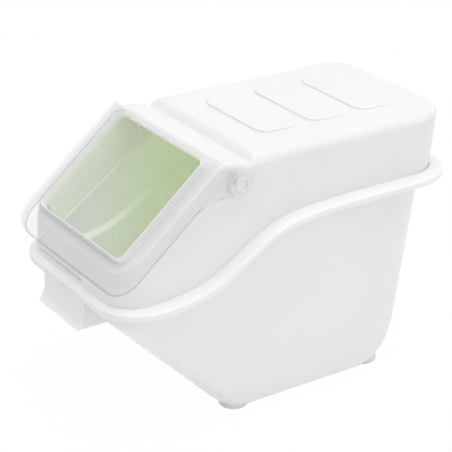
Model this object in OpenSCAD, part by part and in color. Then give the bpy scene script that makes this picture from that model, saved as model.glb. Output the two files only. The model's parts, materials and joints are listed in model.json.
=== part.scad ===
// Shelf-top rice bin: a tapered tub, a lift-off hood with a slanted mouth, and a clear flip lid
// that swings on two pins. Millimetres, +Z up, front towards -Y, floor at z = 0.

/* [Seam between hood and tub] */
// Height of the seam along the front
seam_front = 160; // [150:0.5:175]
// Rise of the seam from front to rear
seam_rise = 65; // [40:1:75]
// Distance from the middle forward to where the seam is half way up
seam_mid = 61.5; // [40:0.5:80]
// Length that sets how steep the seam's S is
seam_run = 49; // [42:1:60]
// Depth by which the hood reaches into the tub
seam_depth = 11; // [8:0.5:14]
// Gap between the hood and the tub's collar
seam_gap = 0.5; // [0.4:0.1:1.5]

/* [Hood] */
// Outer width of the hood where it enters the tub
hood_w = 195; // [185:1:205]
// Distance from the middle to the hood's front wall at the seam
hood_front = 198; // [192:1:206]
// Distance from the middle to the hood's rear wall
hood_rear = 200; // [190:1:212]
// Corner radius of the hood's plan at the front
hood_r_front = 35; // [25:1:45]
// Corner radius of the hood's plan at the rear
hood_r_rear = 43; // [34:1:46]
// Distance the front wall leans back from the seam to its top edge
front_lean = 5; // [2:0.5:8]
// Wall thickness of the hood
hood_wall = 2.6; // [2:0.1:3.4]
// Height of the roof above the floor just behind the step, along its middle
roof_z = 291.4; // [286:0.2:300]
// Fall of the roof towards the rear, per unit of length
roof_fall = 0.008; // [0:0.002:0.03]
// Rise of the roof from its sides to its middle
roof_crown = 2; // [0:0.2:4]
// Radius of the edges along the sides of the roof
roof_edge_r = 11; // [6:1:14]
// Radius of the edge along the rear of the roof
rear_edge_r = 4; // [3:0.5:12]
// Radius of the edges round the slanted face
face_edge_r = 3; // [1:0.5:6]
// Distance from the pivot back to the foot of the step
step_back = 14.5; // [13:0.5:24]
// Length of the sloping step
step_run = 10; // [8:0.5:16]
// Height of the shelf behind the mouth over the pivot, at its crest
shelf_up = 20.3; // [17:0.1:21.5]
// Dip of the shelf from its crest to the step
shelf_dip = 4.6; // [1:0.2:6]

/* [Roof panels] */
// Number of raised panels
panel_count = 3; // [1:1:3]
// Distance from the side of the hood to a raised panel
panel_inset = 42.5; // [32:0.5:56]
// Length of a raised panel
panel_len = 48; // [30:1:52]
// Distance from one panel to the next
panel_pitch = 61.8; // [56:0.2:64]
// Distance from the step to the first panel
panel_gap = 31; // [22:0.5:34]
// Height of a panel's front edge over the roof
panel_h = 2.2; // [1:0.1:3]
// Corner radius of a raised panel
panel_r = 14; // [8:1:18]

/* [Rim] */
// Width of the rim beyond the hood at the sides
rim_side = 15; // [12:0.5:18]
// Width of the rim beyond the hood at the front
rim_front = 8; // [6:0.5:12]
// Width of the rim beyond the hood at the rear
rim_rear = 14.5; // [12:0.5:18]
// Corner radius of the rim's outer edge at the front
rim_r_front = 52; // [42:1:60]
// Corner radius of the rim's outer edge at the rear
rim_r_rear = 57; // [50:1:60]
// Fall of the rim from its inner edge to its outer edge
rim_crown = 3.6; // [2:0.2:6]
// Height of the lip that hangs from the rim's outer edge
lip_h = 6; // [4:0.5:9]
// Thickness of the rim, its lip and its collar
rim_t = 2.6; // [2:0.1:3.4]

/* [Tub] */
// Wall thickness of the tub
tub_wall = 3; // [2.4:0.1:3.6]
// Width of the ledge inside the tub, from the hood's side in to the body
ledge_w = 3; // [2:0.5:5]
// Fall of the ledge inside the tub, towards the wall below it
ledge_fall = 4; // [1:0.2:5]
// Draw-in of each side wall from under the rim down to the base
side_draw = 8.5; // [5:0.5:12]
// Distance from the middle forward to the foot of the front slope
base_front = 62; // [56:1:66]
// Distance from the middle to the rear wall at the base
base_rear = 151; // [145:1:160]
// Distance from the middle to the rear wall under the rim
body_rear = 189; // [184:0.5:190]
// Distance from the middle to the front wall under the rim
body_front = 191.5; // [187:0.5:194]
// Slope of the front wall from the floor
front_slope = 45.3; // [44.5:0.1:45.8]
// Radius between the base and the side walls
base_r_side = 6; // [4:0.5:10]
// Radius between the base and the front slope
base_r_front = 12; // [6:0.5:16]
// Radius between the base and the rear wall
base_r_rear = 42; // [20:1:44]
// Corner radius of the body at the front
body_r_front = 20; // [16:1:28]
// Corner radius of the body at the rear, at the base
base_corner_r = 20; // [16:1:30]
// Corner radius of the body at the rear, under the rim
body_r_rear = 46; // [34:1:48]

/* [Front grip] */
// Width of the grip under the front of the rim
grip_w = 80; // [70:1:92]
// Height of the grip's lower edge above the floor
grip_z = 122; // [118:0.5:128]
// Reach of the grip's flared lower edge beyond the rim
grip_flare = 8.5; // [6:0.5:10]
// Height over which the grip flares
grip_flare_h = 18; // [14:0.5:22]
// Wall thickness of the grip
grip_wall = 3; // [2.4:0.1:3.6]

/* [Feet] */
// Height of the base above the floor
foot_h = 4.5; // [3.5:0.5:6]
// Radius of a foot
foot_r = 15.5; // [12:0.5:16]
// Height of the pad under a foot
pad_h = 2.2; // [1.6:0.1:3]
// Radius of the stem that holds a pad in its foot
stem_r = 5; // [3:0.5:7]
// Height of the stem
stem_h = 2; // [1:0.2:2.2]
// Distance of the front feet in from the sides of the base
foot_front_in = 20; // [19:0.5:26]
// Distance of the rear feet in from the sides of the base
foot_rear_in = 22.5; // [20:0.5:28]
// Distance of the front feet back from the foot of the front slope
foot_front_back = 16; // [15:0.5:22]
// Distance of the rear feet forward from the rear wall at the base
foot_rear_back = 25; // [23:0.5:40]

/* [Lid] */
// Slope of the mouth and the closed lid from the floor
lid_angle = 40.4; // [39:0.1:41.5]
// Distance from the middle forward to the pivot
pivot_front = 63.8; // [62:0.2:66]
// Height of the pivot above the floor
pivot_z = 268.2; // [266:0.2:271]
// Distance from the pivot up to the outside of the lid's flat border
lid_rise = 30.5; // [29.5:0.1:32]
// Length of the lid down its slope, without the grip
lid_len = 163; // [159:0.5:167]
// Distance by which the lid reaches beyond each side of the hood
lid_side = 7.5; // [7:0.1:9]
// Corner radius of the lid at the front
lid_r = 25; // [16:1:30]
// Thickness of the clear plastic
lid_t = 1.8; // [1.6:0.1:2.2]
// Depth of the skirt round the lid
skirt_h = 11; // [9:0.5:12]
// Outward draft of the skirt
skirt_draft = 1.6; // [0.8:0.1:2]
// Gap between the lid's flat border and the face of the mouth
lid_gap = 0.8; // [0.5:0.1:1.5]

/* [Window] */
// Height of the window over the flat border
window_h = 7.9; // [5:0.1:9]
// Draft of the window's side walls
window_draft = 0.8; // [0.4:0.1:1.6]
// Radius of the edge round the window's pane
pane_edge_r = 1.6; // [0.8:0.1:2.4]
// Gap between the window's walls and the collar inside them
window_gap = 0.35; // [0.3:0.05:0.8]
// Extra gap at the window's front wall, which swings over the collar
swing_gap = 1.5; // [1.4:0.1:3]

/* [Lid grip] */
// Width of the finger grip on the lid's front edge
tab_w = 85; // [60:1:110]
// Reach of the finger grip beyond the lid's front edge
tab_reach = 7; // [5:0.5:9]
// Rise of the finger grip over the flat border
tab_rise = 3; // [2:0.2:4]
// Depth of the finger grip's front face
tab_drop = 7; // [5:0.5:9]
// Number of ribs on the finger grip
tab_ribs = 4; // [2:1:5]
// Height of a rib
rib_h = 0.7; // [0.4:0.1:1]

/* [Mouth] */
// Distance from the side of the hood to the mouth
mouth_inset = 16.6; // [15:0.1:24]
// Distance from the hinge edge down the slope to the mouth
mouth_top = 8; // [7.6:0.1:12]
// Length of the mouth down the slope
mouth_len = 125.2; // [112:0.2:127]
// Corner radius of the mouth
mouth_r = 7.5; // [3:0.5:10]
// Thickness of the collar that stands round the mouth
collar_t = 1.2; // [1:0.1:1.6]
// Gap between the collar and the pane over it
collar_gap = 0.8; // [0.5:0.1:4]
// Thickness of the cheeks and the apron inside the mouth
cheek_t = 2; // [1.6:0.1:2.6]
// Depth of the cheeks below the face at the mouth's upper end
cheek_high = 43.7; // [38:0.1:46]
// Depth of the cheeks below the face at the mouth's lower end
cheek_low = 30.7; // [22:0.1:34]
// Thickness of the bead along the lower edge of a cheek
bead_t = 1.2; // [0.6:0.1:2]
// Height of the bead along the lower edge of a cheek
bead_h = 2.2; // [1.2:0.1:3]

/* [Pivot pins] */
// Radius of the pin's shank
pin_r = 5; // [4:0.25:5.5]
// Running clearance between shank and ear, on the radius
pin_clear = 0.06; // [0.03:0.01:0.1]
// Interference between shank and boss, on the radius
pin_press = 0.02; // [0.01:0.01:0.04]
// Radius of the pin's round head
head_r = 9; // [7:0.5:10.5]
// Thickness of the pin's head
head_t = 3; // [2:0.2:4]
// Height of the head over the eye that it is sunk in
head_proud = 0.3; // [0:0.1:1]
// Radius of the dimple in the head
dimple_r = 5; // [3:0.5:6]
// Radius of the lid's round eye
eye_r = 14.5; // [13:0.5:15.5]
// Height of the eye over the outside of the skirt
eye_rise = 0.6; // [0.2:0.1:1.5]
// Radius of the eye's outer edge
eye_edge_r = 1.5; // [0.5:0.1:2]
// Radius of the hollow curve between the eye and the skirt
ear_fillet_r = 52; // [40:1:60]
// Side gap between the eye and its neighbours
ear_gap = 0.4; // [0.3:0.1:0.6]
// Radius of the boss that carries the pin
boss_r = 10; // [8:0.5:11]
// Radius of the cap on the pin's inner end
cap_r = 7.5; // [7:0.5:9]
// Length of the cap on the pin's inner end
cap_len = 4; // [4:0.5:7]

/* [Hidden] */

tub_white = [0.93, 0.94, 0.93];
hood_white = [0.95, 0.95, 0.95];
clear_plastic = [0.86, 0.90, 0.92, 0.35];
pin_white = [0.88, 0.88, 0.87];
foot_grey = [0.80, 0.81, 0.79];

$fn = 64;
eps = 0.01;
far_x = 200;

pivot_y = -pivot_front;
base_z = foot_h;
half_hood = hood_w / 2;
half_rim = half_hood + rim_side;
rim_y = hood_front + rim_front;
body_w = hood_w - 2 * ledge_w;
base_w = body_w - 2 * side_draw;
panel_w = hood_w - 2 * panel_inset;
mouth_w = hood_w - 2 * mouth_inset;
lid_w = hood_w + 2 * lid_side;
ear_out = lid_w / 2 + skirt_draft;
ear_in = ear_out - lid_t;
eye_out = ear_out + eye_rise;
eye_in = half_hood + ear_gap;
head_in = eye_out + head_proud - head_t;
cheek_x = mouth_w / 2;
step_foot = pivot_y + step_back;
step_top = step_foot + step_run;

// ---------------------------------------------------------------- curves and rings

function tanh(x) = (exp(2 * x) - 1) / (exp(2 * x) + 1);

// Height of the seam: low along the front, high along the rear, one smooth S between them.
function seam_z(y) = seam_front + seam_rise / 2 * (1 + tanh((y + seam_mid) / seam_run));

function arc(centre, r, from, to, steps) =
    [for (i = [0:steps]) let (a = from + (to - from) * i / steps) centre + r * [cos(a), sin(a)]];

// Even steps from y0 to y1, without y0.
function steps(y0, y1, n) = [for (i = [1:n]) y0 + (y1 - y0) * i / n];

// Stations along the sides: close together as far back as the seam bends.
side_from = rim_r_front - rim_y + 8;
side_to = hood_rear + rim_rear - rim_r_rear - 23;
bend_to = 1.95 * seam_run - seam_mid;
tub_stations = concat([side_from], steps(side_from, bend_to, 20), steps(bend_to, side_to, 4));

// Closed plan outline with its own corner radius at the front and the rear, counted anticlockwise
// from the front right, with points at the stations ys along its sides.
function outline(half_w, front, rear, r_front, r_rear, ys) = concat(
    arc([half_w - r_front, front + r_front], r_front, -90, 0, 8),
    [for (y = ys) [half_w, y]],
    arc([half_w - r_rear, rear - r_rear], r_rear, 0, 90, 8),
    arc([r_rear - half_w, rear - r_rear], r_rear, 90, 180, 8),
    [for (i = [len(ys) - 1:-1:0]) [-half_w, ys[i]]],
    arc([r_front - half_w, front + r_front], r_front, 180, 270, 8));

// Stations spread over a side that runs from y0 to y1.
function spread(ys, y0, y1) = let (n = len(ys) - 1)
    [for (y = ys) y0 + (y1 - y0) * (y - ys[0] + 5) / (ys[n] - ys[0] + 10)];

// Plan of the hood at the seam, moved outwards by grow.
function hood_plan(grow, ys) = outline(half_hood + grow, -hood_front - grow, hood_rear + grow,
    hood_r_front + grow, hood_r_rear + grow, ys);

// Plan of the rim's outer edge, moved inwards by inset.
function rim_plan(inset) = outline(half_rim - inset, inset - rim_y, hood_rear + rim_rear - inset,
    rim_r_front - inset, rim_r_rear - inset, tub_stations);

function blend(a, b, t) = [for (i = [0:len(a) - 1]) a[i] * (1 - t) + b[i] * t];

// An outline lifted to the seam's height plus dz.
function seam_ring(plan, dz) = [for (p = plan) [p[0], p[1], seam_z(p[1]) + dz]];

// Solid through a stack of rings. Rings are mirror images left to right, so each end closes with
// strips that run across.
module loft(rings) {
    n = len(rings[0]);
    m = len(rings);
    last = (m - 1) * n;
    polyhedron([for (ring = rings) each ring], concat(
        [for (i = [0:n / 2 - 2]) [i, i + 1, n - 2 - i, n - 1 - i]],
        [for (j = [0:m - 2], i = [0:n - 1]) let (k = (i + 1) % n, a = j * n, b = a + n)
            each [[a + i, b + i, b + k], [a + i, b + k, a + k]]],
        [for (i = [0:n / 2 - 2]) [last + i, last + n - 1 - i, last + n - 2 - i, last + i + 1]]));
}

// Solid from a side view, drawn as (y, z), between two positions across the bin.
module across(x0, x1) {
    translate([x0, 0, 0]) rotate([90, 0, 90]) linear_extrude(x1 - x0) children();
}

module both_sides() {
    children();
    mirror([1, 0, 0]) children();
}

// Rectangle with rounded corners, centred on x and running from y0 to y1.
module rounded(w, y0, y1, r) {
    translate([r - w / 2, y0]) square([w - 2 * r, y1 - y0]);
    translate([-w / 2, y0 + r]) square([w, y1 - y0 - 2 * r]);
    for (x = [r - w / 2, w / 2 - r], y = [y0 + r, y1 - r]) translate([x, y]) circle(r);
}

// ---------------------------------------------------------------- tub

body_top = seam_front + seam_rise - seam_depth - rim_t;
nose_z = base_z + (body_front - base_front) * tan(front_slope);

function body_share(z) = (z - base_z) / (body_top - base_z);
function body_half(z) = (base_w + (body_w - base_w) * body_share(z)) / 2;
function body_front_y(z) = max(-body_front, -base_front - (z - base_z) / tan(front_slope));
function body_rear_y(z) = base_rear + (body_rear - base_rear) * body_share(z);
function body_r(z) = base_corner_r + (body_r_rear - base_corner_r) * body_share(z);

// How far a bottom edge of radius r draws in at height h over the base.
function draw_in(h, r) = h < r ? r - sqrt(r * r - pow(r - h, 2)) : 0;

// Level ring round the body at height z. With a wall, it is the ring of the inner face.
function level_ring(z, wall) = let (
        h = z - base_z - wall,
        side = wall + draw_in(h, base_r_side - wall * 0.6),
        front = wall * (z < nose_z ? 1.42 : 1) + draw_in(h, base_r_front),
        rear = wall + draw_in(h, base_r_rear - wall),
        y0 = body_front_y(z) + front,
        y1 = body_rear_y(z) - rear,
        r0 = body_r_front - wall / 2 - side * 0.4,
        r1 = body_r(z) - wall / 2 - side * 0.4)
    [for (p = outline(body_half(z) - side, y0, y1, r0, r1, spread(tub_stations, y0 + r0, y1 - r1)))
        [p[0], p[1], z]];

// Ring at the top of the body, dz from the seam, with a wall for the inner face.
function ledge_ring(dz, wall) = [for (p = outline(body_w / 2 - wall, wall - body_front,
        body_rear - wall, body_r_front - wall / 2, body_r_rear - wall / 2, tub_stations))
    let (z = seam_z(p[1]) + dz) [p[0] * (body_half(z) - wall) / (body_w / 2 - wall), p[1], z]];

// Rings from the base up to the nose.
function belly_rings(wall) = [for (h = [0, 0.25, 1, 2.5, 5, 9, 15, 24, base_r_rear])
    level_ring(base_z + wall + h * (1 - wall / base_r_rear), wall)];

// Walls, ledge, collar, rim and lip as one moulding of even thickness.
module tub_shell() {
    inner = hood_plan(seam_gap, tub_stations);
    outer = hood_plan(seam_gap + rim_t, tub_stations);
    edge = rim_plan(0);
    ledge = -seam_depth;
    inside = belly_rings(tub_wall);
    loft(concat(
        belly_rings(0),
        [level_ring(nose_z, 0), ledge_ring(ledge - rim_t - ledge_fall, 0)],
        [seam_ring(outer, ledge - rim_t), seam_ring(outer, -rim_t - 0.4)],
        [seam_ring(rim_plan(rim_t), -rim_crown - rim_t + 0.6)],
        [seam_ring(rim_plan(rim_t), -rim_crown - lip_h), seam_ring(edge, -rim_crown - lip_h)],
        [for (t = [0, 0.12, 0.35, 0.65, 1]) seam_ring(blend(edge, inner, t), -rim_crown * pow(1 - t, 2))],
        [seam_ring(inner, ledge), ledge_ring(ledge - ledge_fall, tub_wall)],
        [level_ring(nose_z + 0.5, tub_wall)],
        [for (i = [len(inside) - 1:-1:0]) inside[i]]));
}

// Front of the grip in side view, from its flared lower edge up to the lip, moved back by inset.
function grip_curve(inset, top) = let (
        out = grip_flare - 0.5,
        r = (pow(grip_flare_h, 2) + pow(out, 2)) / 2 / out,
        a = asin(grip_flare_h / r),
        y = -rim_y - 0.5 - r)
    concat(
        arc([y, grip_z + grip_flare_h], r + inset, -a, 0, 6),
        [[y + r + inset, top]]);

// Finger grip under the front of the rim: a flared front plate and two side plates that run back
// to the wall, closed above by the ledge and open below.
module grip() {
    wall_y = -body_front + tub_wall / 2;
    back = body_front_y(grip_z) + tub_wall / 2;
    in_lip = seam_front - rim_crown - lip_h * 0.6;
    collar_y = -hood_front - seam_gap - rim_t + 0.6;
    step_z = seam_front - seam_depth - rim_t;
    under_ledge = step_z - ledge_fall / 2;
    difference() {
        across(-grip_w / 2, grip_w / 2) polygon(concat(grip_curve(0, in_lip), [
            [collar_y, in_lip], [collar_y, step_z + 1], [wall_y, step_z - ledge_fall + 1],
            [wall_y, nose_z], [back, grip_z]]));
        across(grip_wall - grip_w / 2, grip_w / 2 - grip_wall) polygon(concat(
            [[-rim_y - grip_flare, grip_z - 10], [-rim_y - grip_flare + grip_wall, grip_z]],
            grip_curve(grip_wall, under_ledge),
            [[-body_front + 20, under_ledge], [back + 20, grip_z - 10]]));
    }
}

foot_front_at = [base_w / 2 - foot_front_in, foot_front_back - base_front];
foot_rear_at = [base_w / 2 - foot_rear_in, base_rear - foot_rear_back];

module foot_places() {
    both_sides() for (at = [foot_front_at, foot_rear_at]) translate(at) children();
}

// Round feet moulded on the base, each rising until it meets the wall's underside.
module feet() {
    difference() {
        foot_places() translate([0, 0, pad_h]) cylinder(r = foot_r, h = 26);
        translate([0, 0, tub_wall / 2]) loft(belly_rings(0));
    }
}

module tub() {
    color(tub_white) difference() {
        union() {
            tub_shell();
            grip();
            feet();
        }
        foot_places() translate([0, 0, pad_h - 1]) cylinder(r = stem_r, h = stem_h + 1);
    }
}

// Soft pad pressed into the underside of a foot.
module pad(side, at) {
    color(foot_grey) translate([side * at[0], at[1], 0]) {
        cylinder(r1 = foot_r - 1.2, r2 = foot_r - 0.3, h = 0.9);
        translate([0, 0, 0.9]) cylinder(r = foot_r - 0.3, h = pad_h - 0.9);
        translate([0, 0, pad_h]) cylinder(r = stem_r, h = stem_h);
    }
}

// ---------------------------------------------------------------- hood

// Distance of the mouth's face above the pivot, square to the slope.
face_n = lid_rise - lid_t - lid_gap;
function face_z(y) = pivot_z + face_n / cos(lid_angle) + (y - pivot_y) * tan(lid_angle);
crest_z = pivot_z + shelf_up;
crest_y = pivot_y - (face_n / cos(lid_angle) - shelf_up) / tan(lid_angle);

// Side view of the top: slanted face, crest, dipping shelf, step, roof.
shelf_view = [
    [crest_y - 2.5, face_z(crest_y - 2.5)], [crest_y + 1, crest_z - 0.9], [crest_y + 4.5, crest_z - 0.1],
    [crest_y + 9, crest_z], [crest_y + 16, crest_z - shelf_dip * 0.13],
    [pivot_y + 6, crest_z - shelf_dip * 0.55], [step_foot - 2, crest_z - shelf_dip * 0.97],
    [step_foot, crest_z - shelf_dip], [step_foot + 2, crest_z - shelf_dip + 0.7],
    [step_top - 2.5, roof_z - 1.1], [step_top, roof_z - 0.25], [step_top + 3, roof_z]
];
function top_z(y) = y < crest_y - 2.5 ? face_z(y)
    : y > step_top + 3 ? roof_z - (y - step_top - 3) * roof_fall : lookup(y, shelf_view);

// Radius of the top edge where the wall stands at y.
function edge_r(y) = lookup(y, [[crest_y - 12, face_edge_r], [crest_y + 4, 5], [step_foot, 7],
    [step_top, roof_edge_r], [hood_rear - 40, roof_edge_r], [hood_rear - 6, rear_edge_r]]);

// Rise of the top over its side view: a gentle dome behind the step.
function dome(x, y) = -roof_crown * pow(x / half_hood, 2)
    * lookup(y, [[pivot_y, 0], [step_top, 1]]);

hood_stations = concat([side_from], steps(side_from, crest_y - 10.5, 6), [for (p = shelf_view) p[0]],
    steps(step_top + 3, bend_to, 7), steps(bend_to, side_to, 4));

// Plan of the hood at its top edges, moved inwards by inset.
function top_plan(inset) = outline(half_hood - 0.5 - inset, inset + front_lean - hood_front,
    hood_rear + 1.5 - inset, hood_r_front - 8 - inset, hood_r_rear - 9 - inset, hood_stations);

// Ring of the rounded top edge at angle a: 0 on the wall, 90 on the face or roof.
function edge_ring(a, inset, drop) = let (wall = top_plan(inset), deep = top_plan(inset + 10))
    [for (i = [0:len(wall) - 1]) let (
            r = max(1, edge_r(wall[i][1]) - inset),
            p = wall[i] + (deep[i] - wall[i]) / 10 * r * (1 - cos(a)))
        [p[0], p[1], top_z(p[1]) + dome(p[0], p[1]) - drop - r * (1 - sin(a))]];

// Position along the top, moved inwards by d at its front and rear ends and by less further in.
function drawn_in(y, d) = y + d * max(0, -hood_front + 52 - y) / 52
    - d * max(0, y - hood_rear + 52) / 52;

// Ring on the roof, with every point moved across to the share s of its distance from the middle.
function roof_ring(s, inset, drop) = [for (p = edge_ring(90, inset, drop))
    let (y = drawn_in(p[1], 8 * (1 - s))) [p[0] * s, y, top_z(y) + dome(p[0] * s, y) - drop]];

module hood_shell() {
    thick = hood_wall * 1.2;
    low = 0.4 - seam_depth;
    loft(concat(
        [for (s = [0.4, 0.75]) roof_ring(s, hood_wall, thick)],
        [for (a = [90, 45, 0]) edge_ring(a, hood_wall, thick)],
        [seam_ring(hood_plan(-hood_wall, hood_stations), 1)],
        [seam_ring(hood_plan(-hood_wall, hood_stations), low)],
        [seam_ring(hood_plan(0, hood_stations), low), seam_ring(hood_plan(0, hood_stations), 1)],
        [for (a = [0:22.5:90]) edge_ring(a, 0, 0)],
        [for (s = [0.75, 0.4]) roof_ring(s, 0, 0)]));
}

// Panel that stands proud at its front edge and runs out into the roof at its rear.
module panel(y) {
    tilt = atan(panel_h / panel_len + roof_fall);
    translate([0, y, top_z(y) + panel_h]) rotate([-tilt, 0, 0])
        translate([0, 0, -hood_wall - 0.2]) linear_extrude(hood_wall + 0.2)
            rounded(panel_w, 0, panel_len, panel_r);
}

// Frame with its origin on the pivot, y up the slope and z square to it.
module slope() {
    translate([0, pivot_y, pivot_z]) rotate([lid_angle, 0, 0]) children();
}

function slope_point(y, n) = [pivot_y + y * cos(lid_angle) - n * sin(lid_angle),
    pivot_z + y * sin(lid_angle) + n * cos(lid_angle)];

mouth_y0 = -mouth_top - mouth_len;
pane_n = lid_rise + window_h - lid_t;

// Mouth as an outline in the slanted face, moved outwards by grow.
module mouth(grow) {
    rounded(mouth_w + 2 * grow, mouth_y0 - grow, grow - mouth_top, mouth_r + grow);
}

// Collar that stands round the mouth and reaches up into the lid's window.
module collar() {
    slope() translate([0, 0, face_n - 1]) linear_extrude(pane_n - collar_gap - face_n + 1) difference() {
        mouth(collar_t);
        mouth(0);
    }
}

// Plate down each side of the mouth, with a bead along its lower edge, and an apron across the
// mouth's lower end.
module cheeks() {
    low = slope_point(mouth_y0 - cheek_t, face_n - cheek_low);
    high = slope_point(-mouth_top, face_n - cheek_high);
    rear_y = step_foot - 0.5;
    rear = [rear_y, high[1] + (rear_y - high[0]) * (high[1] - low[1]) / (high[0] - low[0])];
    above = [for (p = shelf_view) if (p[0] < rear_y - 2) p[0]];
    both_sides() {
        across(cheek_x, cheek_x + cheek_t) polygon(concat([low],
            [for (y = concat([low[0] - 14], above, [rear_y])) [y, top_z(y) - hood_wall * 0.6]], [rear]));
        across(cheek_x - bead_t, cheek_x + cheek_t / 2)
            polygon([low, low + [0, bead_h], rear + [0, bead_h], rear]);
    }
    slope() translate([-cheek_x - 1, mouth_y0 - cheek_t, face_n - cheek_low])
        cube([mouth_w + 2, cheek_t, cheek_low - hood_wall / 2]);
}

module hood() {
    color(hood_white) difference() {
        union() {
            difference() {
                hood_shell();
                slope() translate([0, 0, face_n - 9]) linear_extrude(14) mouth(0);
            }
            collar();
            for (i = [0:panel_count - 1]) panel(step_top + panel_gap + i * panel_pitch);
            cheeks();
            both_sides() translate([cheek_x, pivot_y, pivot_z]) rotate([0, 90, 0])
                cylinder(r = boss_r, h = half_hood - hood_wall / 2 - cheek_x);
        }
        translate([-far_x, pivot_y, pivot_z]) rotate([0, 90, 0])
            cylinder(r = pin_r - pin_press, h = 2 * far_x);
    }
}

// ---------------------------------------------------------------- lid

// Outline of the lid in its own plane: square at the hinge, rounded at the front.
module lid_plan(grow) {
    w = lid_w + 2 * grow;
    r = lid_r + grow;
    y0 = -lid_len - grow;
    translate([-w / 2, y0 + r]) square([w, -y0 - r]);
    translate([r - w / 2, y0]) square([w - 2 * r, r]);
    for (x = [r - w / 2, w / 2 - r]) translate([x, y0 + r]) circle(r);
}

module slice(n) {
    translate([0, 0, n]) linear_extrude(eps) children();
}

// Border and skirt as a solid; inset shrinks it for the hollow side.
module lid_block(inset, deeper) {
    hull() {
        slice(lid_rise - inset - eps) lid_plan(-inset);
        slice(lid_rise - skirt_h - deeper) lid_plan(skirt_draft * (1 + deeper / skirt_h) - inset);
    }
}

// Distance from the mouth out to the foot of the window's outer wall.
window_grow = collar_t + window_gap + lid_t + window_draft;

// Raised window as a solid; inset shrinks it for the hollow side.
module window_block(inset) {
    r = max(0.3, pane_edge_r - inset);
    hull() {
        slice(lid_rise - lid_t) window_plan(-inset);
        for (a = [0:30:90]) slice(lid_rise + window_h - inset - r * (1 - sin(a)) - eps)
            window_plan(-inset - window_draft - r * (1 - cos(a)));
    }
}

module window_plan(grow) {
    g = window_grow + grow;
    rounded(mouth_w + 2 * g, mouth_y0 - swing_gap - g, g - mouth_top, mouth_r + g);
}

// Lip for a finger along the lid's front edge, with fine ribs on top.
module lid_tab() {
    y0 = -lid_len - tab_reach;
    across(-tab_w / 2, tab_w / 2) polygon([
        [-lid_len + 9, lid_rise - 0.5], [-lid_len + 9, lid_rise],
        [-lid_len + 5, lid_rise + tab_rise * 0.8], [y0 + 3, lid_rise + tab_rise],
        [y0 + 0.8, lid_rise + tab_rise - 0.7], [y0, lid_rise + tab_rise - 2.2],
        [y0, lid_rise - tab_drop], [y0 + lid_t, lid_rise - tab_drop],
        [y0 + lid_t, lid_rise - lid_t], [-lid_len + 1, lid_rise - lid_t]]);
    for (i = [0:tab_ribs - 1]) translate([-tab_w / 2 + 3, y0 + 2.4 + i * 2.1, lid_rise])
        cube([tab_w - 6, 0.9, tab_rise + rib_h - 0.1 * i]);
}

// Ear beside the hood in side view: it sweeps from the eye on the pivot up into the skirt.
module ear_view() {
    edge = lid_rise - skirt_h;
    run = sqrt((eye_r + edge) * (2 * ear_fillet_r + eye_r - edge));
    circle(eye_r - 0.1);
    difference() {
        polygon([eye_r * [-0.7, -0.7], eye_r * [0.26, 0.92], eye_r * [0.1, 1.2], [0, edge + 0.6],
            [-run, edge + 0.6]]);
        translate([-run, edge - ear_fillet_r]) circle(ear_fillet_r, $fn = 128);
    }
}

// Thick round eye that turns on the pin, with a rounded outer edge.
module eye() {
    length = eye_out - eye_in;
    translate([eye_in, 0, 0]) rotate([0, 90, 0]) rotate_extrude() {
        square([eye_r - eye_edge_r, length]);
        square([eye_r, length - eye_edge_r]);
        difference() {
            translate([eye_r - eye_edge_r, length - eye_edge_r]) circle(eye_edge_r);
            translate([-eye_r, 0]) square([eye_r, length]);
        }
    }
}

// Hollow that leaves the lid's hinge end open between its side skirts.
module hinge_mouth() {
    inner_w = lid_w - 2 * lid_t;
    hull() {
        slice(lid_rise - lid_t - eps) translate([-inner_w / 2, -0.5]) square([inner_w, 3]);
        slice(lid_rise - skirt_h - 1) translate([-inner_w / 2 - skirt_draft, -0.5])
            square([inner_w + 2 * skirt_draft, 3]);
    }
}

module flip_lid() {
    color(clear_plastic) slope() difference() {
        union() {
            difference() {
                union() {
                    lid_block(0, 0);
                    window_block(0);
                }
                lid_block(lid_t, 1);
                hinge_mouth();
                window_block(lid_t);
            }
            both_sides() {
                across(ear_in, ear_out) ear_view();
                eye();
            }
            lid_tab();
        }
        translate([-far_x, 0, 0]) rotate([0, 90, 0]) cylinder(r = pin_r + pin_clear, h = 2 * far_x);
        both_sides() translate([head_in - ear_gap, 0, 0]) rotate([0, 90, 0])
            cylinder(r = head_r + ear_gap, h = head_t + 2);
    }
}

// ---------------------------------------------------------------- pins

// Pin with a round, dimpled head at its outer end.
module pin() {
    shank = head_in - cheek_x + cap_len - 1;
    rotate_extrude() difference() {
        union() {
            square([pin_r, shank + 1]);
            translate([0, shank]) square([head_r, head_t - 0.6]);
            translate([0, shank]) square([head_r - 0.6, head_t]);
        }
        translate([-1, shank + head_t - 1]) square([dimple_r + 1, 3]);
    }
}

module pivot_pin(side) {
    color(pin_white) translate([side * (cheek_x - cap_len + 1), pivot_y, pivot_z])
        rotate([0, side * 90, 0]) pin();
}

// Cap pressed on the inner end of a pin.
module pin_cap(side) {
    color(pin_white) translate([side * (cheek_x - cap_len), pivot_y, pivot_z])
        rotate([0, side * 90, 0]) difference() {
            union() {
                cylinder(r1 = cap_r - 1, r2 = cap_r, h = 1);
                translate([0, 0, 1]) cylinder(r = cap_r, h = cap_len - 1);
            }
            translate([0, 0, 1]) cylinder(r = pin_r - pin_press, h = cap_len);
        }
}

tub();
hood();
flip_lid();
pivot_pin(-1);  // pivot_pin_left
pivot_pin(1);  // pivot_pin_right
pin_cap(-1);  // pin_cap_left
pin_cap(1);  // pin_cap_right
pad(-1, foot_front_at);  // foot_front_left
pad(1, foot_front_at);  // foot_front_right
pad(-1, foot_rear_at);  // foot_rear_left
pad(1, foot_rear_at);  // foot_rear_right
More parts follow.
